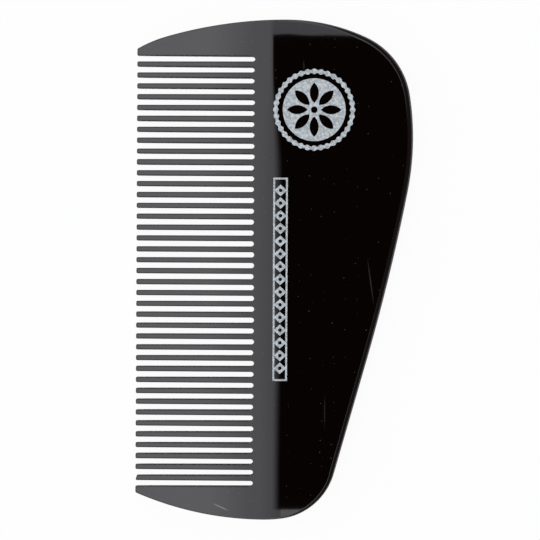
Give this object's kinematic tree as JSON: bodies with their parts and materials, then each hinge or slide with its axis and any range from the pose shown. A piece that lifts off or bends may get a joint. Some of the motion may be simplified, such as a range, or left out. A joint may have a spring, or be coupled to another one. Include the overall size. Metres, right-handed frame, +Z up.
{
  "type": "pocket beard comb",
  "caption": "Flat pocket beard comb with a tapered row of fine saw-cut teeth between end guards, a broad curved back to hold it by, and a printed medallion and border strip.",
  "frame": {"origin": "middle of the plan, on the level of the back's lower face, which the comb rests on", "axes": "+X from the tooth tips to the back edge, +Y along the tooth row to the broad end with the medallion, +Z up out of the printed face"},
  "size_m": [0.0456, 0.0826, 0.0041],
  "materials": {
    "hard_rubber": "polished black vulcanised hard rubber",
    "silver_ink": "thin silver-white printed ink"
  },
  "bodies": {
    "root": {"back_plate": "hard_rubber", "end_guard_lower": "hard_rubber", "end_guard_upper": "hard_rubber", "print_border": "silver_ink", "print_ring": "silver_ink", "print_rosette": "silver_ink", "tooth_01": "hard_rubber", "tooth_02": "hard_rubber", "tooth_03": "hard_rubber", "tooth_04": "hard_rubber", "tooth_05": "hard_rubber", "tooth_06": "hard_rubber", "tooth_07": "hard_rubber", "tooth_08": "hard_rubber", "tooth_09": "hard_rubber", "tooth_10": "hard_rubber", "tooth_11": "hard_rubber", "tooth_12": "hard_rubber", "tooth_13": "hard_rubber", "tooth_14": "hard_rubber", "tooth_15": "hard_rubber", "tooth_16": "hard_rubber", "tooth_17": "hard_rubber", "tooth_18": "hard_rubber", "tooth_19": "hard_rubber", "tooth_20": "hard_rubber", "tooth_21": "hard_rubber", "tooth_22": "hard_rubber", "tooth_23": "hard_rubber", "tooth_24": "hard_rubber", "tooth_25": "hard_rubber", "tooth_26": "hard_rubber", "tooth_27": "hard_rubber", "tooth_28": "hard_rubber", "tooth_29": "hard_rubber", "tooth_30": "hard_rubber", "tooth_31": "hard_rubber", "tooth_32": "hard_rubber", "tooth_33": "hard_rubber", "tooth_34": "hard_rubber", "tooth_35": "hard_rubber", "tooth_36": "hard_rubber", "tooth_37": "hard_rubber", "tooth_38": "hard_rubber", "tooth_39": "hard_rubber"}
  },
  "joints": []
}
